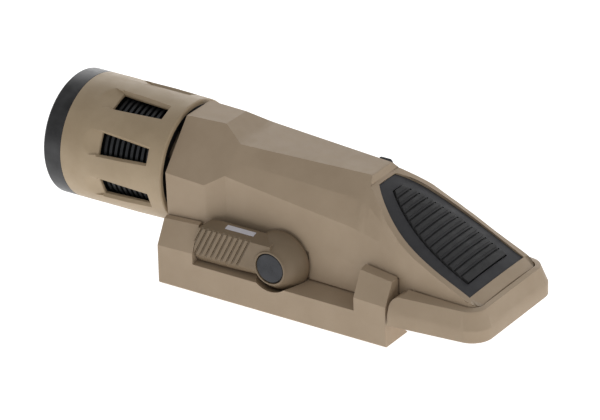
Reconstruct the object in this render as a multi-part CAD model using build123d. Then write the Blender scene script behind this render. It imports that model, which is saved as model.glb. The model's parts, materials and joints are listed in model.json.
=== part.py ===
from build123d import *
from math import cos, hypot, radians, sin
import os

# Rail-mounted tactical flashlight, in millimetres.
# +X points along the beam, +Y to the side with the clamp lever, +Z up.
# The origin lies on the rail seat, halfway along the clamp.

AT_BASE = (Align.CENTER, Align.CENTER, Align.MIN)
AT_START = (Align.MIN, Align.CENTER, Align.MIN)

# ---- driving dimensions -------------------------------------------------------
AXIS_Z = 18.2          # height of the beam and battery axis above the rail seat
CLAMP_HALF = 33.0      # half the length of the rail clamp, and the body's front face
HEAD_REAR = 34.2       # rear rim of the head
HEAD_R = 16.0          # radius of the bezel and of the head's front
HEAD_REAR_R = 15.7     # radius of the head's rear rim
BEZEL_REAR = 64.2
BEZEL_FRONT = 69.7
SHROUD_WALL = 1.6
RAIL_HALF = 10.6       # half the width of a MIL-STD-1913 rail across its flanks
RAIL_FLANK_TOP = -2.8  # rail heights: upper and lower edge of its side land
RAIL_FLANK_LOW = -5.54
JAW_BOTTOM = -6.7
JAW_OUTER = 19.4
BASE_HALF = 12.2       # half width of the body's base between the jaws
SEAT_HALF = 9.2        # half width of the flat seat
SEAT_BEVEL = 1.0       # height of the bevel beside the seat
FIT = 0.05             # radial clearance of a running fit
GAP = 0.3              # clearance between parts that move past each other

CELL_R = 8.5           # one CR123A cell
CELL_LENGTH = 34.5
CELL_REAR = -18.0
BORE_R = 8.75
NECK_R = 9.9
NECK_FRONT = 48.0
LUG_R = 10.9
LUG_COUNT = 3
HEAD_TURN = 45.0       # bayonet turn from locked to released, degrees

WINDOW_COUNT = 8
WINDOW_X = (39.0, 53.1)
WINDOW_HALF = (1.8, 2.75)     # half width at the rear and at the front of a window
SCOOP_FRONT = 58.4
SCOOP_HALF = 3.9
SCOOP_DEPTH = 0.9
WINDOW_FLARE = 1.15
FIN_COUNT = 9
FIN_R = 13.7
FIN_ROOT_R = 12.2

BOLT_Z = 5.8           # cross bolt and lever pivot above the seat
BOLT_R = 2.0
LEVER_REACH = 22.3
LEVER_INNER = 14.9
LEVER_OUTER = 19.0
HUB_R = 7.7
HUB_BASE_Y = 13.5
BOSS_OUTER = 13.2      # jaw boss that the lever's hub bears on
BOSS_R = 6.9
CAP_R = 3.9
CAP_FLOOR = 17.9
JAW_INNER = BASE_HALF + GAP

SLOPE = 30.5           # switch face, degrees below the horizontal
SLOPE_START = (-21.7, 0.0, 27.1)
BUTTON_TRAVEL = 0.8
FRAME_THICK = 1.6
RIM_LIFT = 0.25        # how far the housing's rim stands above the switch frame

GUARD_PIVOT = (-37.7, 3.6)
GUARD_FRONT = -33.75
GUARD_HALF = 19.6
GUARD_REAR = -58.3
GUARD_BOTTOM = -0.35
GUARD_BAND = 2.5       # top of the upright band; above it the sides lean inwards
GUARD_TOP = 7.0
DRUM_R = 17.95         # the housing's rear is a drum about the guard's pivot,
DRUM_HALF = 14.1       # so the guard clears it evenly all the way up
DRUM_CORNER = 3.0
DRUM_GAP = 0.35

os.makedirs("parts", exist_ok=True)


# ---- helpers ------------------------------------------------------------------
def export(name, shape):
    export_step(shape, "parts/" + name + ".step")


def ring(x0, x1, r_out, r_in=0.0, z=AXIS_Z):
    """A tube or disc along X."""
    outer = Pos(x0, 0, z) * Rot(0, 90, 0) * Cylinder(r_out, x1 - x0, align=AT_BASE)
    if r_in <= 0:
        return outer
    bore = Pos(x0 - 1, 0, z) * Rot(0, 90, 0) * Cylinder(r_in, x1 - x0 + 2, align=AT_BASE)
    return outer - bore


def y_cylinder(x, z, r, y0, y1):
    """A round bar along Y."""
    return Pos(x, y0, z) * Rot(-90, 0, 0) * Cylinder(r, y1 - y0, align=AT_BASE)


def block(x0, x1, y0, y1, z0, z1):
    return Pos(x0, y0, z0) * Box(x1 - x0, y1 - y0, z1 - z0, align=(Align.MIN,) * 3)


def outline_yz(x, points):
    """A flat face in the plane X = x from a list of (y, z) corners."""
    return make_face(Polyline(*[(x, y, z) for y, z in points], close=True))


def outline_xz(y, points):
    return make_face(Polyline(*[(x, y, z) for x, z in points], close=True))


def spun(points):
    """Revolve a closed (x, r) outline about the beam axis."""
    face = make_face(Polyline(*[(x, 0, AXIS_Z + r) for x, r in points], close=True))
    return revolve(face, axis=Axis((0, 0, AXIS_Z), (1, 0, 0)))


def mirrored(half):
    """A left-right symmetric outline from its +Y half, listed from top to bottom."""
    return half + [(-y, z) for y, z in reversed(half)]


def mirror_y(shape):
    return mirror(shape, about=Plane.XZ)


# ---- body shell ---------------------------------------------------------------
# Each station lists x and the +Y half of the cross-section from the top edge down:
# top edge, upper side, shoulder, lower side.
FRONT_STATIONS = [
    (CLAMP_HALF, [(5.0, 32.9), (10.0, 27.2), (14.9, 21.4), (14.5, 9.7)]),
    (21.8, [(4.2, 33.0), (9.6, 26.8), (14.7, 20.7), (14.3, 9.7)]),
    (17.0, [(6.6, 30.8), (9.6, 27.2), (12.5, 23.5), (12.2, 9.7)]),
    (15.6, [(7.3, 30.2), (10.2, 26.7), (12.6, 23.3), (12.2, 9.7)]),
    (-19.8, [(4.2, 29.6), (8.6, 24.8), (11.8, 18.4), (13.2, 9.6)]),
    (-22.0, [(5.4, 28.6), (9.2, 24.2), (12.0, 17.8), (13.2, 9.6)]),
    (-27.8, [(10.6, 24.2), (11.3, 20.9), (12.2, 16.7), (13.3, 9.6)]),
    (-33.3, [(12.9, 20.2), (13.1, 17.4), (13.3, 14.1), (13.4, 9.5)]),
]
REAR_STATIONS = [
    (-33.3, [(12.9, 20.2), (13.1, 17.4), (13.3, 14.1), (13.4, 9.5)]),
    (-37.8, [(13.7, 17.0), (13.8, 14.0), (13.85, 11.9), (13.9, 9.4)]),
    (-45.8, [(13.95, 12.6), (14.0, 10.9), (14.05, 9.4), (14.1, 7.8)]),
    (-51.0, [(14.0, 10.6), (14.05, 9.3), (14.08, 8.0), (14.1, 6.6)]),
    (-56.0, [(14.0, 8.6), (14.05, 7.6), (14.08, 6.8), (14.1, 5.6)]),
]
BODY_UNDERSIDE = 9.6
REAR_UNDERSIDE = 0.8
RIDGE = 1.5            # height of the housing's blank above its top edge, cut away by the slope

# Lower side on the lever's side, between the jaw's ears: x and half width.
SKIRT = [(22.3, 12.2), (15.6, 12.2), (-19.8, 13.2), (-23.8, 13.2)]
SKIRT_BOTTOM = 2.2


def skirt():
    """The body's lower side behind the lever, down to just above the clamp's bar."""
    faces = []
    for x, half in SKIRT:
        top = BODY_UNDERSIDE + 0.2
        faces.append(outline_yz(x, [(0, SKIRT_BOTTOM), (half, SKIRT_BOTTOM), (half, top), (0, top)]))
    boss_room = block(-BOSS_R - GAP, BOSS_R + GAP, BASE_HALF, 20, 0, BODY_UNDERSIDE - 0.1)
    return loft(faces, ruled=True) - boss_room


def drum(gap=0.0):
    """A drum with rounded rims, turned about the guard's pivot."""
    px, pz = GUARD_PIVOT
    r = DRUM_R + gap
    half = DRUM_HALF + gap
    corners = [(px, -half, pz), (px + r, -half, pz), (px + r, half, pz), (px, half, pz)]
    side = make_face(Polyline(*corners, close=True))
    side = fillet(side.vertices().group_by(Axis.X)[-1], DRUM_CORNER + gap)
    return revolve(side, axis=Axis((px, 0, pz), (0, 1, 0)))


def body_blank():
    front = [
        outline_yz(x, mirrored([(0.01, half[0][1])] + half + [(BASE_HALF, BODY_UNDERSIDE)]))
        for x, half in FRONT_STATIONS
    ]
    rear = []
    for x, half in REAR_STATIONS:
        ridge = (0.01, half[0][1] + RIDGE)
        foot = (half[-1][0], REAR_UNDERSIDE)
        rear.append(outline_yz(x, mirrored([ridge] + half + [foot])))
    base = [
        (SEAT_HALF, 0.0),
        (BASE_HALF, SEAT_BEVEL),
        (BASE_HALF, BODY_UNDERSIDE + 2),
    ]
    base_face = outline_yz(-CLAMP_HALF - GAP, mirrored(base))
    seat_block = extrude(base_face, 2 * CLAMP_HALF + GAP, dir=(1, 0, 0))
    tail = loft(rear, ruled=True)
    tail -= block(-70, GUARD_PIVOT[0], -30, 30, -5, 40) - drum()
    return loft(front, ruled=True) + tail + seat_block + skirt()


def slope_plane(lift=0.0):
    """The switch face: x runs down the slope to the rear, y across, z out of the face."""
    a = radians(SLOPE)
    normal = Vector(-sin(a), 0, cos(a))
    origin = Vector(*SLOPE_START) + normal * lift
    return Plane(origin=origin, x_dir=(-cos(a), 0, -sin(a)), z_dir=normal)


# Crowns of the switch frame and of the rim around it: distance down the slope and how
# much the sides fall away, as a drop per square millimetre from the centre line.
FRAME_CROWN = [
    (-9, 0.015),
    (0, 0.015),
    (7, 0.015),
    (14, 0.0142),
    (19, 0.0122),
    (25, 0.0092),
    (31, 0.0063),
    (36, 0.003),
    (42, 0.001),
]
RIM_CROWN = [
    (-9, 0.006),
    (0, 0.006),
    (7, 0.008),
    (14, 0.0106),
    (19, 0.0097),
    (25, 0.0079),
    (31, 0.0051),
    (36, 0.0028),
    (42, 0.001),
]
CROWN_HALF = 15.0
CROWN_DEPTH = 30.0


def under_crown(lift, crown=FRAME_CROWN):
    """Everything below the crowned switch face, raised by lift."""
    plane = slope_plane()
    faces = []
    for u, drop in crown:
        edge = lift - drop * CROWN_HALF**2
        section = Plane(origin=plane.from_local_coords(Vector(u, 0, 0)), x_dir=plane.y_dir, z_dir=plane.x_dir)
        up = 1 if section.y_dir.dot(plane.z_dir) > 0 else -1
        arc = ThreePointArc((-CROWN_HALF, up * edge), (0, up * lift), (CROWN_HALF, up * edge))
        below = Polyline(
            (CROWN_HALF, up * edge),
            (CROWN_HALF, -up * CROWN_DEPTH),
            (-CROWN_HALF, -up * CROWN_DEPTH),
            (-CROWN_HALF, up * edge),
        )
        faces.append(section * make_face(arc + below))
    return loft(faces)


# Outlines on the slope: distance down the slope, half width.
FRAME_EDGE = [(0.0, 3.6), (4.0, 6.9), (7.0, 8.6), (14.0, 11.1), (18.0, 11.85), (25.0, 12.35), (35.5, 12.3)]
BUTTON_EDGE = [(3.5, 1.8), (9.7, 5.2), (20.3, 8.1), (32.4, 8.6)]


def grown(edge, grow):
    """The same leaf with its sides and ends moved outwards by grow."""
    moved = []
    for i, (u, v) in enumerate(edge):
        before = edge[max(i - 1, 0)]
        after = edge[min(i + 1, len(edge) - 1)]
        along = (after[0] - before[0], after[1] - before[1])
        length = hypot(*along)
        out = (-along[1] / length * grow, along[0] / length * grow)
        end = {0: u - grow, len(edge) - 1: u + grow}.get(i, u + out[0])
        slide = (end - u - out[0]) / along[0]
        moved.append((end, v + out[1] + slide * along[1]))
    return moved


def slope_face(edge):
    """A leaf-shaped outline: curved sides through the edge points, straight ends."""
    side = Spline(*edge)
    other = Spline(*[(u, -v) for u, v in edge])
    front = Line(other @ 0, side @ 0)
    rear = Line(side @ 1, other @ 1)
    return make_face(side + rear + other + front)


def slope_prism(edge, grow, w0, w1):
    return slope_plane(w0) * extrude(slope_face(grown(edge, grow)), w1 - w0)


SWITCH_CAVITY = (10.0, 31.0, 6.4, -7.2)   # start, end, half width, depth under the face
CAVITY_HEIGHT = 5.5
BUTTON_FLANGE = (-2.7, -1.9)
LEDGE_START = -1.0     # where the housing starts to rise ahead of the switch frame
LEDGE_RISE = 0.72      # how steeply it rises, per mm up the slope
SELECTOR_X = -16.4
SELECTOR_SLOT = 7.6


def selector_plane(lift=0.0):
    """On the far upper side face, just below the top edge; x runs forward."""
    low = Vector(0, -8.7, 25.0)
    high = Vector(0, -4.4, 29.6)
    along = (high - low).normalized()
    normal = Vector(0, -along.Z, along.Y)
    if normal.Z < 0:
        normal = normal * -1
    origin = Vector(SELECTOR_X, high.Y, high.Z) - along * 1.5 + normal * lift
    return Plane(origin=origin, x_dir=(1, 0, 0), z_dir=normal)


def front_ledge():
    """The part of the housing kept ahead of the switch face: it rises to the top face."""
    reach = 9.0
    top = RIM_LIFT + LEDGE_RISE * reach
    end = LEDGE_START - reach
    corners = [(LEDGE_START, RIM_LIFT), (end, top), (end, -13), (LEDGE_START, -13)]
    side = make_face(Polyline(*[(u, 0, w) for u, w in corners], close=True))
    return slope_plane() * extrude(side, 20, dir=(0, 1, 0), both=True)


def body_shell():
    body = body_blank()
    above = slope_plane() * (Pos(-8, 0, -12) * Box(60, 60, 60, align=AT_START))
    body -= above - under_crown(RIM_LIFT, RIM_CROWN) - front_ledge()
    # neck that carries the head, with its bayonet lugs
    body += ring(CLAMP_HALF - 1, NECK_FRONT, NECK_R)
    body += bayonet_lugs()
    # battery tube, spring chamber and contact groove
    body -= ring(CELL_REAR - 0.2, NECK_FRONT + 1, BORE_R)
    body -= ring(-24.0, CELL_REAR, CHAMBER_R)
    body -= block(CELL_REAR - 0.2, NECK_FRONT + 1, -2.2, 2.2, AXIS_Z + 8, AXIS_Z + BORE_R + 0.6)
    # switch frame pocket, flange room and electronics cavity
    pocket = slope_prism(FRAME_EDGE, 0.1, -12, 4)
    body -= pocket - under_crown(-FRAME_THICK)
    flange_room = slope_prism(BUTTON_EDGE, 1.1, -12, 4)
    body -= flange_room - under_crown(-4.0)
    u0, u1, half, depth = SWITCH_CAVITY
    body -= slope_plane(depth) * (Pos(u0, 0, 0) * Box(u1 - u0, 2 * half, CAVITY_HEIGHT, align=AT_START))
    # cross bolt, guide pins, guard pivots, jaw screws, recoil key pocket
    body -= y_cylinder(0, BOLT_Z, BOLT_R + GAP, -20, 20)
    for x in GUIDE_X:
        body -= y_cylinder(x, GUIDE_Z, GUIDE_R, 4, 20)
    for side in (-1, 1):
        y0, y1 = sorted((side * 8.5, side * 20))
        body -= y_cylinder(GUARD_PIVOT[0], GUARD_PIVOT[1], GUARD_PIN_R, y0, y1)
    for x in JAW_SCREW_X:
        body -= y_cylinder(x, BOLT_Z, SCREW_R, -20, -6)
    body -= block(KEY_X - 2.6, KEY_X + 2.6, -7.6, 7.6, -1, KEY_DEPTH)
    body -= Pos(KEY_X, 0, 0) * Cylinder(SCREW_R, 6.2, align=AT_BASE)
    # slot for the mode selector
    body -= selector_plane(-1.6) * Box(SELECTOR_SLOT, 2.2, 4, align=AT_BASE)
    return body


def bayonet_lugs():
    lugs = ring(38.5, 41.0, LUG_R, NECK_R - 0.5)
    keep = None
    for i in range(LUG_COUNT):
        wedge = Pos(39.75, 0, AXIS_Z) * Rot(i * 360 / LUG_COUNT, 0, 0) * (
            Pos(0, 0, 5) * Box(4, 7, 10, align=AT_BASE)
        )
        keep = wedge if keep is None else keep + wedge
    return lugs & keep


# ---- head ---------------------------------------------------------------------
def bezel_ring():
    return spun([
        (BEZEL_REAR + 0.02, HEAD_R),
        (BEZEL_FRONT - 0.6, HEAD_R),
        (BEZEL_FRONT, HEAD_R - 0.6),
        (BEZEL_FRONT, 13.3),
        (BEZEL_FRONT - 0.9, 12.6),
        (BEZEL_FRONT - 1.0, 12.6),
        (BEZEL_FRONT - 1.0, 13.5),
        (59.6, 13.5),
        (59.6, 14.35),
        (BEZEL_REAR + 0.02, 14.35),
    ])


def trapezium(z, x0, x1, half0, half1):
    return Plane.XY.offset(z) * make_face(
        Polyline((x0, -half0), (x1, -half1), (x1, half1), (x0, half0), close=True)
    )


def window_cutter():
    """One cooling window pointing up: a bevelled opening with a scooped ramp ahead of it."""
    x0, x1 = WINDOW_X
    half0, half1 = WINDOW_HALF
    inside = HEAD_R - SHROUD_WALL - 1.0
    hole = extrude(trapezium(inside, x0, x1, half0, half1), 4)
    # funnel that bevels the sides and the rear edge of the opening
    flare = WINDOW_FLARE
    low = trapezium(HEAD_R - 1.1, x0, x1, half0, half1)
    high = trapezium(HEAD_R + 0.4, x0 - 1.1, x1 + 0.8, half0 + flare, half1 + flare)
    funnel = loft([low, high], ruled=True)
    # the ramp rises forward to the surface and spreads as it goes
    deep = HEAD_R - SCOOP_DEPTH
    top = HEAD_R + 1
    ends = []
    for x, half, floor in ((x1 - 0.01, half1, deep), (SCOOP_FRONT, SCOOP_HALF, HEAD_R)):
        ends.append(outline_yz(x, [(-half, floor), (half, floor), (half, top), (-half, top)]))
    ramp = loft(ends, ruled=True)
    return Pos(0, 0, AXIS_Z) * (hole + funnel + ramp)


def head_shroud():
    shell = spun([
        (HEAD_REAR, HEAD_REAR_R - 0.3),
        (HEAD_REAR + 0.3, HEAD_REAR_R),
        (HEAD_REAR + 12, HEAD_R),
        (BEZEL_REAR, HEAD_R),
        (BEZEL_REAR, HEAD_R - SHROUD_WALL),
        (HEAD_REAR, HEAD_R - SHROUD_WALL),
    ])
    cutter = window_cutter()
    step = 360 / WINDOW_COUNT
    for i in range(WINDOW_COUNT):
        spin = Axis((0, 0, AXIS_Z), (1, 0, 0))
        shell -= cutter.rotate(spin, step * (i + 0.5))
    return shell


def heat_sink():
    core = ring(35.2, 59.0, FIN_ROOT_R)
    core += ring(35.2, 38.4, 14.35) + ring(54.0, 59.0, 14.35)
    pitch = (WINDOW_X[1] - WINDOW_X[0]) / FIN_COUNT
    for i in range(FIN_COUNT):
        x = WINDOW_X[0] + 0.35 + pitch * i
        core += ring(x, x + pitch * 0.5, FIN_R)
    core -= ring(30, 49.0, NECK_R + FIT)
    core -= ring(48.9, 53.8, 9.4)
    core -= ring(38.3, 41.3, LUG_R + 0.2)
    # three entry slots, a bayonet turn away from the locked position
    for i in range(LUG_COUNT):
        angle = i * 360 / LUG_COUNT + HEAD_TURN
        slot = Pos(36.5, 0, 5) * Box(5, 7.6, LUG_R + 0.2 - 5, align=AT_BASE)
        core -= Pos(0, 0, AXIS_Z) * Rot(-angle, 0, 0) * slot
    core -= ring(56.4, 60, 13.2)
    core -= ring(53, 57, 1.4)
    return core


def front_lens():
    return ring(67.3, BEZEL_FRONT - 1.02, 13.2)


def lens_seal():
    return ring(66.5, 67.28, 13.4, 12.6)


def reflector():
    """A parabolic cup with a flange that the lens seal rests on."""
    focal = 3.6
    steps = 12
    x0, x1 = 58.4, 66.4
    r0, r1 = 3.4, 12.2
    inner = []
    for i in range(steps + 1):
        r = r0 + (r1 - r0) * i / steps
        inner.append((x0 + (x1 - x0) * (r * r - r0 * r0) / (r1 * r1 - r0 * r0), r))
    outer = [(x1, 13.2), (x1 - 1.0, 13.2)] + [(x - 0.2, r + 0.8) for x, r in reversed(inner[:-2])]
    return spun(inner + outer)


def led_emitter():
    base = Pos(57.82, 0, AXIS_Z) * Box(0.6, 3.45, 3.45, align=(Align.MIN, Align.CENTER, Align.CENTER))
    dome = Pos(58.42, 0, AXIS_Z) * Sphere(1.3) & block(58.42, 60, -3, 3, AXIS_Z - 3, AXIS_Z + 3)
    return base + dome


def led_board():
    return ring(56.42, 57.8, 11.0)


def driver_board():
    return ring(52.3, 53.4, 9.2)


def head_contact():
    return ring(51.1, 52.28, 2.6) + ring(50.85, 51.2, 1.8)


# ---- power and contacts ---------------------------------------------------------
def battery(rear):
    """A CR123A cell with its raised positive end forward."""
    can_front = rear + CELL_LENGTH - 1.2
    cell = ring(rear, can_front, CELL_R)
    cell = chamfer(cell.edges().filter_by(GeomType.CIRCLE), 0.5)
    return cell + ring(can_front - 0.1, rear + CELL_LENGTH - 0.2, 3.2)


CHAMBER_R = 3.9


def tail_spring():
    turns = 4
    start, end = -22.75, CELL_REAR - 0.08
    wire = 0.35
    pitch = (end - start - 2 * wire) / turns
    path = Helix(pitch, pitch * turns, 3.0)
    profile = Plane(origin=path @ 0, z_dir=path % 0) * Circle(wire)
    coil = sweep(profile, path=path)
    return Pos(start + wire, 0, AXIS_Z) * Rot(0, 90, 0) * coil


def tail_contact():
    return ring(-23.4, -22.9, 3.6)


def contact_strip():
    return block(CELL_REAR - 0.1, NECK_FRONT - 0.2, -2.0, 2.0, AXIS_Z + BORE_R + 0.1, AXIS_Z + BORE_R + 0.5)


def neck_seal():
    ring_r = NECK_R + 0.52
    return Pos(CLAMP_HALF + 0.6, 0, AXIS_Z) * Rot(0, 90, 0) * Torus(ring_r, 0.5)


# ---- switch -------------------------------------------------------------------
def switch_frame():
    plate = slope_prism(FRAME_EDGE, 0, -12, 4) & under_crown(0.0)
    plate -= under_crown(-FRAME_THICK + 0.05)
    return plate - slope_prism(BUTTON_EDGE, GAP, -12, 6)


RIB_COUNT = 13
RIB_PITCH = 2.06
RIB_START = 1.7        # from the button's front end to the first groove
BUTTON_PROUD = 0.5


def switch_button():
    """Rubber pad with stepped ribs across its top and a flange under the frame."""
    pad = slope_prism(BUTTON_EDGE, 0, -12, 6) & under_crown(BUTTON_PROUD)
    flange = slope_prism(BUTTON_EDGE, 0.8, -12, 6) & under_crown(BUTTON_FLANGE[1])
    pad += flange
    pad -= under_crown(BUTTON_FLANGE[0])
    # each step has a shallow tread and a narrow, deeper groove behind it
    tread = slope_prism(BUTTON_EDGE, 1, -12, 6) - under_crown(BUTTON_PROUD - 0.22)
    groove = slope_prism(BUTTON_EDGE, 1, -12, 6) - under_crown(BUTTON_PROUD - 0.6)
    for i in range(RIB_COUNT):
        u = BUTTON_EDGE[0][0] + RIB_START + RIB_PITCH * i
        pad -= tread & (slope_plane(-8) * (Pos(u, 0, 0) * Box(1.1, 30, 14, align=AT_BASE)))
        pad -= groove & (slope_plane(-8) * (Pos(u + 0.3, 0, 0) * Box(0.5, 30, 14, align=AT_BASE)))
    return pad


PLUNGER_U = 20.0


def button_plunger():
    top = BUTTON_FLANGE[0] - 0.15
    return slope_plane(-4.2) * (Pos(PLUNGER_U, 0, 0) * Cylinder(1.6, 4.2 + top, align=AT_BASE))


def switch_board():
    u0, u1, half, depth = SWITCH_CAVITY
    board = Pos(u0 + 0.4, 0, 0) * Box(u1 - u0 - 0.8, 2 * half - 0.8, 1.0, align=AT_START)
    for u in BOARD_SCREW_U:
        board -= Pos(u, 0, -1) * Cylinder(SCREW_SMALL_R, 4, align=AT_BASE)
    return slope_plane(depth + 0.05) * board


BOARD_SCREW_U = (12.2, 28.8)
SCREW_SMALL_R = 0.8


def board_screws():
    depth = SWITCH_CAVITY[3]
    screws = []
    for u in BOARD_SCREW_U:
        head = Pos(u, 0, 1.1) * Cylinder(1.5, 0.7, align=AT_BASE)
        shank = Pos(u, 0, 0.06) * Cylinder(SCREW_SMALL_R - 0.05, 1.1, align=AT_BASE)
        screws.append(slope_plane(depth + 0.02) * (head + shank))
    return Compound(screws)


def tact_switch():
    lift = SWITCH_CAVITY[3] + 1.1
    can = Pos(PLUNGER_U, 0, 0) * Box(4.5, 4.5, 0.5, align=AT_BASE)
    nub = Pos(PLUNGER_U, 0, 0.4) * Cylinder(1.1, 0.45, align=AT_BASE)
    return slope_plane(lift) * (can + nub)


def mode_selector():
    """A small slider: a foot in the slot and a low nub just above the surface."""
    foot = Box(4.6, 1.7, 1.7, align=AT_BASE)
    nub = Pos(0, 0, 1.6) * Box(3.2, 1.4, 0.8, align=AT_BASE)
    nub = chamfer(nub.edges().group_by(Axis.Z)[-1], 0.25)
    return selector_plane(-1.5) * (Pos(-1.3, 0, 0) * (foot + nub))


# ---- rail clamp ---------------------------------------------------------------
REAR_EAR_SEAT = 9.2
GUIDE_X = (-28.5, 28.0)
GUIDE_Z = 3.2
GUIDE_R = 1.5
GUARD_PIN_R = 1.45
GUARD_EYE_END = 18.0
JAW_SCREW_X = (-20.0, 20.0)
SCREW_R = 1.5
KEY_X = 14.0
KEY_DEPTH = 2.4
FRONT_EAR = 22.7
REAR_EAR = -24.1
BAR_TOP = 1.0
BAR_RISE = 0.85        # how much higher the bar's top is beside the body


def jaw_inner():
    """Inner side of a jaw from the top down: base side, rail land and hooked lip."""
    land = RAIL_HALF + 0.15
    hook = RAIL_FLANK_LOW - JAW_BOTTOM
    return [
        (JAW_INNER, -0.9),
        (land, -0.9 - (JAW_INNER - land)),
        (land, RAIL_FLANK_LOW),
        (land - hook, JAW_BOTTOM),
    ]


def jaw_section(x0, top0, x1, top1):
    """A stretch of jaw from x0 to x1. Each top lists (y, z) from the outer face inwards."""
    foot = [(JAW_OUTER - 0.4, JAW_BOTTOM), (JAW_OUTER, JAW_BOTTOM + 0.4)]
    faces = [outline_yz(x, foot + top + jaw_inner()) for x, top in ((x0, top0), (x1, top1))]
    return loft(faces, ruled=True)


def ear_top(shoulder, peak, inner, seat):
    """Top of an ear: sloping outer face, nearly level top, and a step under the body."""
    return [(JAW_OUTER, shoulder), (16.1, peak), (inner, peak + 0.4), (inner, seat), (JAW_INNER, seat)]


def clamp_jaw():
    bar = [(JAW_OUTER, BAR_TOP), (13.5, BAR_TOP + BAR_RISE), (JAW_INNER, BAR_TOP + BAR_RISE)]
    jaw = jaw_section(-CLAMP_HALF, bar, CLAMP_HALF, bar)
    front_seat = BODY_UNDERSIDE - GAP
    tall = ear_top(3.9, 10.3, 14.85, front_seat)
    low = ear_top(3.7, 9.7, 14.85, front_seat)
    jaw += jaw_section(FRONT_EAR, tall, CLAMP_HALF, low)
    tall = ear_top(4.5, 10.6, 13.65, REAR_EAR_SEAT)
    low = ear_top(4.2, 9.5, 13.75, REAR_EAR_SEAT)
    jaw += jaw_section(-CLAMP_HALF, low, REAR_EAR, tall)
    # boss under the lever's hub, and a tapered relief in the bar around the hub
    boss = y_cylinder(0, BOLT_Z, BOSS_R, JAW_INNER, BOSS_OUTER)
    jaw += boss & block(-BOSS_R, BOSS_R, 0, 20, -1, BODY_UNDERSIDE - 0.4)
    relief = Cone(8.1, 6.2, JAW_OUTER - BOSS_OUTER + 0.1, align=AT_BASE)
    jaw -= Pos(0, BOSS_OUTER, BOLT_Z) * Rot(-90, 0, 0) * relief
    jaw -= y_cylinder(0, BOLT_Z, BOLT_R + FIT, 5, 20)
    for x in GUIDE_X:
        jaw -= y_cylinder(x, GUIDE_Z, GUIDE_R + FIT, 5, 17.5)
    return jaw


def fixed_jaw():
    outer = BASE_HALF + 4.2
    profile = [
        (outer - 0.4, JAW_BOTTOM),
        (outer, JAW_BOTTOM + 0.4),
        (outer, 5.5),
        (BASE_HALF + 1.6, 9.2),
        (BASE_HALF + 0.02, 9.2),
        (BASE_HALF + 0.02, -0.6),
    ] + [(y, z) for y, z in jaw_inner()[1:]]
    jaw = extrude(outline_yz(-CLAMP_HALF, profile), 2 * CLAMP_HALF, dir=(1, 0, 0))
    jaw = mirror_y(jaw)
    jaw -= y_cylinder(0, BOLT_Z, BOLT_R + GAP, -20, -5)
    nut_pocket = Pos(0, -20, BOLT_Z) * Rot(-90, 0, 0) * extrude(RegularPolygon(4.1, 6), 20 - 13.2)
    jaw -= nut_pocket
    for x in JAW_SCREW_X:
        jaw -= y_cylinder(x, BOLT_Z, SCREW_R + 0.1, -20, -5)
        jaw -= y_cylinder(x, BOLT_Z, 2.9, -20, -14.2)
    return jaw


def fixed_jaw_screws():
    screws = []
    for x in JAW_SCREW_X:
        head = y_cylinder(x, BOLT_Z, 2.75, -16.2, -14.25)
        socket = Pos(x, -17, BOLT_Z) * Rot(-90, 0, 0) * extrude(RegularPolygon(1.2, 6), 2.0)
        shank = y_cylinder(x, BOLT_Z, SCREW_R - 0.02, -14.3, -6.4)
        screws.append(head - socket + shank)
    return Compound(screws)


def clamp_nut():
    nut = Pos(0, -16.2, BOLT_Z) * Rot(-90, 0, 0) * extrude(RegularPolygon(3.95, 6), 2.9)
    return nut - y_cylinder(0, BOLT_Z, BOLT_R + FIT, -20, -5)


def guide_pins():
    pins = [y_cylinder(x, GUIDE_Z, GUIDE_R, 4.1, 16.9) for x in GUIDE_X]
    return Compound(pins)


def recoil_key():
    key = block(KEY_X - 2.5, KEY_X + 2.5, -7.5, 7.5, -2.6, KEY_DEPTH - 0.02)
    key -= Pos(KEY_X, 0, -3) * Cylinder(SCREW_R + 0.1, 8, align=AT_BASE)
    return key - Pos(KEY_X, 0, -3) * Cylinder(2.1, 2.4, align=AT_BASE)


def key_screw():
    head = Pos(KEY_X, 0, -2.2) * Cylinder(2.0, 1.55, align=AT_BASE)
    shank = Pos(KEY_X, 0, -0.7) * Cylinder(SCREW_R - 0.02, 6.7, align=AT_BASE)
    socket = Pos(KEY_X, 0, -3) * extrude(RegularPolygon(0.9, 6), 1.9)
    return head + shank - socket


# ---- lever --------------------------------------------------------------------
LEVER_OUTLINE = [
    (0.0, 13.0),
    (3.5, 12.6),
    (15.0, 12.6),
    (19.5, 12.2),
    (20.7, 11.4),
    (LEVER_REACH, 7.6),
    (LEVER_REACH, 3.0),
    (21.4, 1.9),
    (11.5, 2.1),
    (6.0, 2.6),
    (0.0, 3.0),
]
TAB_TOP = ((15.0, 12.45), (LEVER_OUTER, 11.35))      # slanted top: inner and outer edge
TAB_BEVEL = ((17.6, 1.8), (LEVER_OUTER, 4.2))        # lower bevel: inner and outer edge
HUB_PROFILE = [
    (HUB_R, HUB_BASE_Y),
    (7.55, 14.5),
    (6.85, 16.1),
    (5.6, 17.8),
    (4.55, 19.0),
    (4.35, JAW_OUTER),
]
GROOVE_COUNT = 10
GROOVE_PITCH = 1.54
GROOVE_FIRST = 21.9
GROOVE_LEAN = 27.5
GROOVE_DEPTH = 0.5
GROOVE_WIDTH = 0.6
STRIP = (8.3, 1.45, 0.35)
STRIP_PLACE = (10.2, 16.3)


def lever_hub():
    """A low dome about the cross bolt."""
    dome = Spline(*[(r, y, BOLT_Z) for r, y in HUB_PROFILE])
    corners = [(HUB_PROFILE[-1][0], JAW_OUTER), (0, JAW_OUTER), (0, HUB_BASE_Y), (HUB_R, HUB_BASE_Y)]
    rest = Polyline(*[(r, y, BOLT_Z) for r, y in corners])
    return revolve(make_face(dome + rest), axis=Axis((0, 0, BOLT_Z), (0, 1, 0)))


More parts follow.
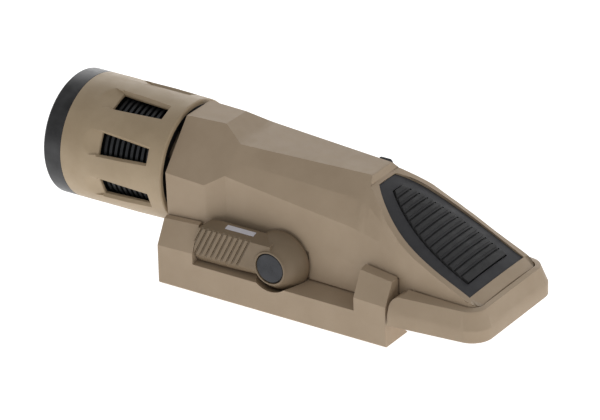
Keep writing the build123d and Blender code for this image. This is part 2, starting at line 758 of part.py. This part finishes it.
def tab_trim(inner, outer, away):
    """What lies beyond a slanted edge that runs along the tab; away is +1 above it, -1 below."""
    (y0, z0), (y1, z1) = inner, outer
    slope = (z1 - z0) / (y1 - y0)
    y_low, y_high = LEVER_INNER - 1, LEVER_OUTER + 1
    z_low, z_high = z0 + slope * (y_low - y0), z1 + slope
    reach = 9 * away
    corners = [(y_low, z_low), (y_high, z_high), (y_high, z_high + reach), (y_low, z_low + reach)]
    return extrude(outline_yz(-1, corners), 30, dir=(1, 0, 0))


def tab_top_plane():
    (y0, z0), (y1, z1) = TAB_TOP
    x, y = STRIP_PLACE
    z = z0 + (z1 - z0) * (y - y0) / (y1 - y0)
    normal = Vector(0, z0 - z1, y1 - y0)
    return Plane(origin=(x, y, z), x_dir=(1, 0, 0), z_dir=normal)


def clamp_lever():
    tab = extrude(outline_xz(LEVER_INNER, LEVER_OUTLINE), LEVER_OUTER - LEVER_INNER, dir=(0, 1, 0))
    tab -= tab_trim(*TAB_TOP, 1)
    tab -= tab_trim(*TAB_BEVEL, -1)
    for i in range(GROOVE_COUNT):
        x = GROOVE_FIRST - GROOVE_PITCH * i
        cutter = Box(GROOVE_WIDTH, 2 * GROOVE_DEPTH, 11.5)
        tab -= Pos(x, LEVER_OUTER, 7.3) * Rot(0, -GROOVE_LEAN, 0) * cutter
    length, width, _ = STRIP
    tab -= tab_top_plane() * (Pos(0, 0, -0.3) * Box(length + 0.04, width + 0.04, 2, align=AT_BASE))
    lever = lever_hub() + tab
    lever -= y_cylinder(0, BOLT_Z, CAP_R + 0.1, CAP_FLOOR, 20)
    lever -= y_cylinder(0, BOLT_Z, BOLT_R + 0.02, 10, 20)
    return lever


def lever_strip():
    """Pale marker set into the slanted top of the tab."""
    length, width, depth = STRIP
    return tab_top_plane() * (Pos(0, 0, -0.28) * Box(length, width, depth, align=AT_BASE))


def clamp_bolt():
    return y_cylinder(0, BOLT_Z, BOLT_R, -17.0, CAP_FLOOR - 0.05)


def bolt_cap():
    cap = y_cylinder(0, BOLT_Z, CAP_R, CAP_FLOOR + 0.02, JAW_OUTER - 0.1)
    return chamfer(cap.edges().group_by(Axis.Y)[-1], 0.3)


def lever_washer():
    disc = y_cylinder(0, BOLT_Z, 5.5, BOSS_OUTER + 0.03, HUB_BASE_Y - 0.02)
    return disc - y_cylinder(0, BOLT_Z, BOLT_R + 0.02, 5, 20)


# ---- guard --------------------------------------------------------------------
GUARD_TAPER = 0.1      # how much each arm leans in towards the rear, per mm
GUARD_CORNER = 5.5
GUARD_NOSE = 2.8       # rounding at the top of the arms' front ends


def guard_plan(z, side_inset, rear_inset, corner):
    """The guard's outline at height z, tapering to the rear with rounded rear corners."""
    front_half = GUARD_HALF - side_inset
    rear_x = GUARD_REAR + rear_inset
    rear_half = front_half - GUARD_TAPER * (GUARD_FRONT - rear_x)
    points = [
        (GUARD_FRONT, front_half, z),
        (rear_x, rear_half, z),
        (rear_x, -rear_half, z),
        (GUARD_FRONT, -front_half, z),
    ]
    face = make_face(Polyline(*points, close=True))
    corners = face.vertices().sort_by(Axis.X)[:2]
    return fillet(corners, corner)


def guard_bar():
    band = extrude(guard_plan(GUARD_BOTTOM, 0, 0, GUARD_CORNER), GUARD_BAND - GUARD_BOTTOM)
    widest = guard_plan(GUARD_BAND, 0, 0, GUARD_CORNER)
    shoulder = guard_plan(GUARD_TOP, 1.5, 1.7, GUARD_CORNER - 1)
    crest = guard_plan(GUARD_TOP + 0.8, 5.2, 3.2, GUARD_CORNER - 2.5)
    bar = band + loft([widest, shoulder], ruled=True) + loft([shoulder, crest], ruled=True)
    px, pz = GUARD_PIVOT
    inner = DRUM_HALF + DRUM_GAP
    bar -= drum(DRUM_GAP) + block(px, 0, -inner, inner, -5, 20)
    # rounded top of the arms' front ends
    nose_x = GUARD_FRONT - GUARD_NOSE
    nose_z = GUARD_TOP + 0.1 - GUARD_NOSE
    keep = y_cylinder(nose_x, nose_z, GUARD_NOSE, -25, 25)
    keep += block(-70, nose_x, -25, 25, -5, 20) + block(-70, GUARD_FRONT, -25, 25, -5, nose_z)
    bar = bar & keep
    for side in (-1, 1):
        y0, y1 = sorted((side * 5, side * GUARD_EYE_END))
        bar -= y_cylinder(px, pz, GUARD_PIN_R + FIT, y0, y1)
    return bar


def guard_pins():
    px, pz = GUARD_PIVOT
    pins = []
    for side in (-1, 1):
        y0, y1 = sorted((side * 8.6, side * (GUARD_EYE_END - 0.1)))
        pins.append(y_cylinder(px, pz, GUARD_PIN_R, y0, y1))
    return Compound(pins)


# ---- assembly -----------------------------------------------------------------
PARTS = {
    "bezel_ring": bezel_ring,
    "head_shroud": head_shroud,
    "heat_sink": heat_sink,
    "front_lens": front_lens,
    "lens_seal": lens_seal,
    "reflector": reflector,
    "led_emitter": led_emitter,
    "led_board": led_board,
    "driver_board": driver_board,
    "head_contact": head_contact,
    "body_shell": body_shell,
    "neck_seal": neck_seal,
    "tail_spring": tail_spring,
    "tail_contact": tail_contact,
    "contact_strip": contact_strip,
    "switch_frame": switch_frame,
    "switch_button": switch_button,
    "button_plunger": button_plunger,
    "switch_board": switch_board,
    "board_screws": board_screws,
    "tact_switch": tact_switch,
    "mode_selector": mode_selector,
    "clamp_jaw": clamp_jaw,
    "fixed_jaw": fixed_jaw,
    "fixed_jaw_screws": fixed_jaw_screws,
    "clamp_nut": clamp_nut,
    "guide_pins": guide_pins,
    "recoil_key": recoil_key,
    "key_screw": key_screw,
    "clamp_lever": clamp_lever,
    "lever_strip": lever_strip,
    "clamp_bolt": clamp_bolt,
    "bolt_cap": bolt_cap,
    "lever_washer": lever_washer,
    "guard_bar": guard_bar,
    "guard_pins": guard_pins,
}

for name, make in PARTS.items():
    export(name, make())
for i, name in enumerate(("battery_rear", "battery_front")):
    export(name, battery(CELL_REAR + CELL_LENGTH * i))
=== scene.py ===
import json
import math

import bpy
from mathutils import Matrix, Vector


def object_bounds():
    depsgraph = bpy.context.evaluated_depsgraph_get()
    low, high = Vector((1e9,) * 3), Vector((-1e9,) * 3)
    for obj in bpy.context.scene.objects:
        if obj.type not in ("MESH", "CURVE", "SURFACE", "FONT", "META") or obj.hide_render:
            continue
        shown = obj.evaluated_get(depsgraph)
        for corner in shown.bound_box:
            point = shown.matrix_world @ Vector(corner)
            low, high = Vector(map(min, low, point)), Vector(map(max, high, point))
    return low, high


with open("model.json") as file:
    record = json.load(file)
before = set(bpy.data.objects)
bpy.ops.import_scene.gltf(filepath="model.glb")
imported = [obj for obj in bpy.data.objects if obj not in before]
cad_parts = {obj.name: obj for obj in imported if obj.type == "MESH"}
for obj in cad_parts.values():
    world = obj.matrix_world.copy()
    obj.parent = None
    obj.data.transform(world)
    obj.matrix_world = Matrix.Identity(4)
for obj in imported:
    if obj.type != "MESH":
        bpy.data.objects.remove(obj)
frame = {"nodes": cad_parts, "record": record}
cad_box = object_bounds()
nodes = frame["nodes"]

MM = 0.001

# ---- camera: where it looks from, and the point of the object it looks at -------
CAMERA_AZIMUTH = 34.27     # degrees the camera stands to the rear of straight left
CAMERA_ELEVATION = 26.25
CAMERA_ROLL = -1.46
CAMERA_DISTANCE = 1.0453
CAMERA_TARGET = Vector((3.8, 0.0, 12.4)) * MM
CAMERA_LENS = 257.6
SENSOR_WIDTH = 36.0


def add_camera():
    az, el, roll = (math.radians(a) for a in (CAMERA_AZIMUTH, CAMERA_ELEVATION, CAMERA_ROLL))
    back = Vector((-math.sin(az) * math.cos(el), math.cos(az) * math.cos(el), math.sin(el)))
    side = Vector((-math.cos(az), -math.sin(az), 0.0))
    up = back.cross(side)
    right = side * math.cos(roll) + up * math.sin(roll)
    top = up * math.cos(roll) - side * math.sin(roll)
    data = bpy.data.cameras.new("camera")
    data.lens = CAMERA_LENS
    data.sensor_width = SENSOR_WIDTH
    data.clip_start = 0.01
    data.clip_end = 20.0
    camera = bpy.data.objects.new("camera", data)
    turn = Matrix((right, top, back)).transposed().to_4x4()
    camera.matrix_world = Matrix.Translation(CAMERA_TARGET + back * CAMERA_DISTANCE) @ turn
    bpy.context.scene.collection.objects.link(camera)
    bpy.context.scene.camera = camera


# ---- node helpers ---------------------------------------------------------------
class Nodes:
    """A small builder for one material's node tree. A source is a (node, output) pair."""

    def __init__(self, name):
        self.material = bpy.data.materials.new(name)
        self.material.use_nodes = True
        self.tree = self.material.node_tree
        self.tree.nodes.clear()
        output = self.add("ShaderNodeOutputMaterial")
        self.shader = self.add("ShaderNodeBsdfPrincipled")
        self.link((self.shader, "BSDF"), output, "Surface")
        self.coords = (self.add("ShaderNodeTexCoord"), "Object")

    def add(self, kind, **settings):
        node = self.tree.nodes.new(kind)
        for key, value in settings.items():
            setattr(node, key, value)
        return node

    def link(self, source, node, name):
        origin, output = source
        self.tree.links.new(origin.outputs[output], node.inputs[name])

    def into_shader(self, source, name):
        self.link(source, self.shader, name)

    def noise(self, size_mm, detail=3.0, rough=0.55):
        node = self.add("ShaderNodeTexNoise")
        node.inputs["Scale"].default_value = 1.0 / (size_mm * MM)
        node.inputs["Detail"].default_value = detail
        node.inputs["Roughness"].default_value = rough
        self.link(self.coords, node, "Vector")
        return (node, 0)

    def spread(self, source, low, high, out_low, out_high):
        """Stretches the part of a value between low and high to a new range, and clamps it."""
        node = self.add("ShaderNodeMapRange")
        names = ("From Min", "From Max", "To Min", "To Max")
        for name, value in zip(names, (low, high, out_low, out_high)):
            node.inputs[name].default_value = value
        self.link(source, node, "Value")
        return (node, 0)

    def mix(self, factor, a, b):
        """Mixes two colours by a source; each is a colour or a source."""
        node = self.add("ShaderNodeMix", data_type="RGBA")
        self.link(factor, node, 0)
        for index, value in ((6, a), (7, b)):
            if isinstance(value[0], bpy.types.Node):
                self.link(value, node, index)
            else:
                node.inputs[index].default_value = (*value, 1.0)
        return (node, 2)

    def product(self, a, b):
        node = self.add("ShaderNodeMath", operation="MULTIPLY")
        self.link(a, node, 0)
        self.link(b, node, 1)
        return (node, 0)

    def bump(self, height, strength, depth_mm, below=None):
        """A bump of the given depth, on top of the bump below it."""
        node = self.add("ShaderNodeBump")
        node.inputs["Strength"].default_value = strength
        node.inputs["Distance"].default_value = depth_mm * MM
        self.link(height, node, "Height")
        if below:
            self.link(below, node, "Normal")
        return (node, "Normal")

    def edge_mask(self, radius_mm, low=0.02, high=0.25):
        """1 on sharp edges, 0 on flats: how far a bevelled normal leans from the true one."""
        bevel = self.add("ShaderNodeBevel", samples=4)
        bevel.inputs["Radius"].default_value = radius_mm * MM
        dot = self.add("ShaderNodeVectorMath", operation="DOT_PRODUCT")
        self.link((bevel, "Normal"), dot, 0)
        self.link((self.add("ShaderNodeNewGeometry"), "Normal"), dot, 1)
        return self.spread((dot, "Value"), 1.0 - high, 1.0 - low, 1.0, 0.0)


def linear(r, g, b):
    """An sRGB colour, 0 to 255, as the linear values that shaders take."""
    out = []
    for value in (r, g, b):
        c = value / 255.0
        out.append(c / 12.92 if c <= 0.04045 else ((c + 0.055) / 1.055) ** 2.4)
    return tuple(out)


# ---- material recipes -------------------------------------------------------------
def moulded(name, colour, dark, worn, rough=(0.5, 0.64), grain=0.35, grain_depth=0.03, wear=0.35):
    """Moulded polymer or rubber: slow colour drift, fine grain, and paler rubbed edges."""
    n = Nodes(name)
    drift = n.spread(n.noise(9.0, 4.0), 0.35, 0.65, 0.0, 1.0)
    base = n.mix(drift, colour, dark)
    specks = n.spread(n.noise(0.5, 2.0), 0.55, 0.8, 0.0, 0.35)
    base = n.mix(specks, base, dark)
    rubbed = n.spread(n.noise(1.6, 4.0, 0.7), 0.42, 0.7, 0.0, wear)
    base = n.mix(n.product(n.edge_mask(0.35), rubbed), base, worn)
    n.into_shader(base, "Base Color")
    fog = n.noise(3.0, 5.0, 0.65)
    n.into_shader(n.spread(fog, 0.3, 0.7, *rough), "Roughness")
    grain_bump = n.bump(n.noise(grain, 2.0, 0.6), 0.35, grain_depth)
    wave_bump = n.bump(n.noise(14.0, 2.0), 0.12, 0.12, grain_bump)
    n.into_shader(wave_bump, "Normal")
    n.shader.inputs["Specular IOR Level"].default_value = 0.42
    return n.material


def anodised(name, colour, worn, rough=(0.3, 0.45), metallic=0.65, wear=0.4):
    """Dark anodised or blackened metal, with paler metal on its rubbed edges."""
    n = Nodes(name)
    drift = n.spread(n.noise(4.0, 4.0), 0.3, 0.7, 0.0, 1.0)
    lighter = tuple(min(1.0, c * 1.6 + 0.004) for c in colour)
    base = n.mix(drift, colour, lighter)
    rubbed = n.spread(n.noise(0.9, 5.0, 0.7), 0.5, 0.72, 0.0, wear)
    base = n.mix(n.product(n.edge_mask(0.2), rubbed), base, worn)
    n.into_shader(base, "Base Color")
    fog = n.noise(2.0, 5.0, 0.7)
    n.into_shader(n.spread(fog, 0.3, 0.7, *rough), "Roughness")
    n.into_shader(n.bump(n.noise(0.18, 3.0), 0.25, 0.012), "Normal")
    n.shader.inputs["Metallic"].default_value = metallic
    return n.material


def clear_glass(name):
    """Coated glass with faint smears."""
    n = Nodes(name)
    smear = n.noise(5.0, 4.0)
    n.into_shader(n.spread(smear, 0.4, 0.75, 0.02, 0.09), "Roughness")
    tint = n.mix(n.spread(smear, 0.2, 0.8, 0.0, 1.0), (0.93, 0.97, 1.0), (0.97, 1.0, 0.98))
    n.into_shader(tint, "Base Color")
    n.shader.inputs["Transmission Weight"].default_value = 1.0
    n.shader.inputs["IOR"].default_value = 1.49
    n.shader.inputs["Coat Weight"].default_value = 0.3
    return n.material


def metal(name, colour, dark, rough=(0.22, 0.42)):
    """Bare or plated metal with tarnish and a fine grain."""
    n = Nodes(name)
    tarnish = n.noise(2.2, 5.0, 0.65)
    n.into_shader(n.mix(n.spread(tarnish, 0.35, 0.75, 0.0, 1.0), colour, dark), "Base Color")
    n.into_shader(n.spread(tarnish, 0.3, 0.7, *rough), "Roughness")
    n.into_shader(n.bump(n.noise(0.25, 4.0, 0.7), 0.3, 0.01), "Normal")
    n.shader.inputs["Metallic"].default_value = 1.0
    return n.material


# ---- materials: for each slot its recipe, its colours, and what else differs --------
TAN = [linear(174, 154, 130), linear(168, 148, 124), linear(196, 178, 154)]
MATERIALS = {
    "tan_polymer": (moulded, TAN, {}),
    "tan_shroud": (
        moulded,
        [linear(176, 156, 128), linear(166, 146, 118), linear(196, 178, 154)],
        {"rough": (0.42, 0.55), "grain": 0.25, "grain_depth": 0.02},
    ),
    # lever tan: a darker moulding, darkened further with painted shade for the recessed notch between
    # the jaw's ears
    "tan_lever_with_painted_shade": (moulded, [linear(134, 116, 94), linear(125, 108, 86), linear(164, 146, 122)], {}),
    "black_bezel": (anodised, [linear(52, 52, 53), linear(128, 128, 130)], {}),
    "black_fins": (anodised, [linear(46, 47, 49), linear(110, 110, 112)], {"rough": (0.35, 0.5)}),
    "clear_lens": (clear_glass, [], {}),
    "seal_rubber": (
        moulded,
        [linear(30, 30, 31), linear(22, 22, 23), linear(60, 60, 60)],
        {"rough": (0.6, 0.8)},
    ),
    "mirror_cup": (metal, [(0.93, 0.93, 0.94), (0.86, 0.86, 0.88)], {"rough": (0.03, 0.1)}),
    "led": (
        moulded,
        [linear(232, 214, 96), linear(220, 196, 70), linear(240, 230, 150)],
        {"rough": (0.15, 0.3)},
    ),
    "copper_board": (moulded, [linear(228, 228, 224), linear(210, 210, 204), linear(240, 240, 240)], {}),
    "green_board": (
        moulded,
        [linear(28, 92, 52), linear(20, 74, 42), linear(60, 120, 80)],
        {"rough": (0.25, 0.4)},
    ),
    "contact_metal": (metal, [linear(214, 178, 98), linear(176, 140, 70)], {}),
    "spring_steel": (metal, [linear(196, 196, 198), linear(150, 150, 152)], {}),
    "battery_wrap": (
        moulded,
        [linear(52, 56, 66), linear(40, 44, 52), linear(90, 94, 104)],
        {"rough": (0.2, 0.35)},
    ),
    "black_polymer": (
        moulded,
        [linear(58, 58, 61), linear(50, 50, 53), linear(84, 84, 86)],
        {"rough": (0.6, 0.75), "grain": 0.3, "wear": 0.25},
    ),
    "switch_rubber": (
        moulded,
        [linear(52, 52, 53), linear(42, 42, 43), linear(78, 78, 78)],
        {"rough": (0.6, 0.78), "grain": 0.25, "wear": 0.3},
    ),
    "steel": (metal, [linear(168, 168, 170), linear(128, 128, 130)], {}),
    "black_steel": (anodised, [linear(46, 47, 50), linear(120, 120, 122)], {"rough": (0.22, 0.4)}),
    "grey_marker": (
        moulded,
        [linear(222, 221, 230), linear(206, 205, 214), linear(238, 238, 240)],
        {"rough": (0.3, 0.5)},
    ),
}
OWN_MATERIAL = {"clamp_lever": "tan_lever_with_painted_shade"}      # the lever is darker than the housing: partly its own darker tan, partly painted shade from the notch it sits in


def assign_materials():
    made = {}
    for part in frame["record"]["subparts"]:
        key = OWN_MATERIAL.get(part["node"], part["material_slot"])
        if key not in made:
            recipe, colours, settings = MATERIALS[key]
            made[key] = recipe(key, *colours, **settings)
        piece = nodes[part["node"]]
        if not piece.material_slots:
            piece.data.materials.append(made[key])
        for holder in piece.material_slots:
            holder.material = made[key]


# ---- studio ---------------------------------------------------------------------
SKY = 0.42             # brightness of the dim room around the table
TABLE_GLOW = 1.0       # light the table gives off, so that it stays white under the object
TABLE_HALF = 6.0
TABLE_Z = cad_box[0][2] - 0.0002
CARDS = [              # white cards: name, place, width, height, brightness
    ("backdrop", (0.45, -0.75, 0.35), 1.6, 0.9, 1.5),
    ("left_card", (-0.9, -0.1, 0.25), 0.9, 0.6, 0.7),
]


def add_card(name, place, width, height, brightness):
    """A glowing white card that faces the object."""
    data = bpy.data.lights.new(name, "AREA")
    data.shape = "RECTANGLE"
    data.size = width
    data.size_y = height
    data.energy = brightness * math.pi * width * height
    card = bpy.data.objects.new(name, data)
    card.location = place
    aim = CAMERA_TARGET - Vector(place)
    card.rotation_euler = aim.to_track_quat("-Z", "Y").to_euler()
    bpy.context.scene.collection.objects.link(card)


def add_room():
    world = bpy.data.worlds.new("studio")
    bpy.context.scene.world = world
    world.use_nodes = True
    background = world.node_tree.nodes["Background"]
    background.inputs["Color"].default_value = (1.0, 1.0, 1.0, 1.0)
    background.inputs["Strength"].default_value = SKY


def table_material():
    n = Nodes("floor_card")
    n.into_shader(n.mix(n.noise(4.0, 3.0), (0.38, 0.38, 0.38), (0.42, 0.42, 0.42)), "Base Color")
    n.shader.inputs["Roughness"].default_value = 0.9
    n.shader.inputs["Emission Color"].default_value = (1.0, 1.0, 1.0, 1.0)
    n.shader.inputs["Emission Strength"].default_value = TABLE_GLOW
    return n.material


def add_table():
    mesh = bpy.data.meshes.new("floor")
    signs = ((-1, -1), (1, -1), (1, 1), (-1, 1))
    corners = [(x * TABLE_HALF, y * TABLE_HALF, TABLE_Z) for x, y in signs]
    mesh.from_pydata(corners, [], [(0, 1, 2, 3)])
    mesh.materials.append(table_material())
    floor = bpy.data.objects.new("floor", mesh)
    bpy.context.scene.collection.objects.link(floor)


# ---- softened edges -------------------------------------------------------------
ROUNDED = {            # edge width in mm on the moulded and turned pieces
    "body_shell": 0.35,
    "clamp_jaw": 0.45,
    "fixed_jaw": 0.3,
    "guard_bar": 0.5,
    "clamp_lever": 0.2,
    "head_shroud": 0.15,
    "bezel_ring": 0.15,
    "switch_frame": 0.2,
    "switch_button": 0.12,
    "bolt_cap": 0.12,
    "lever_strip": 0.1,
    "mode_selector": 0.1,
}
SAME_POINT = 0.002     # mm; vertices nearer than this are one
EDGE_ANGLE = 24        # degrees; shallower creases stay as they are


def soften(piece, width_mm):
    weld = piece.modifiers.new("weld", "WELD")
    weld.merge_threshold = SAME_POINT * MM
    bevel = piece.modifiers.new("bevel", "BEVEL")
    bevel.width = width_mm * MM
    bevel.segments = 2
    bevel.limit_method = "ANGLE"
    bevel.angle_limit = math.radians(EDGE_ANGLE)
    piece.modifiers.new("normals", "WEIGHTED_NORMAL")


# ---- build ------------------------------------------------------------------------
add_camera()
add_room()
add_table()
for card in CARDS:
    add_card(*card)
assign_materials()
for name, width_mm in ROUNDED.items():
    soften(nodes[name], width_mm)
bpy.context.scene.view_settings.view_transform = "Standard"
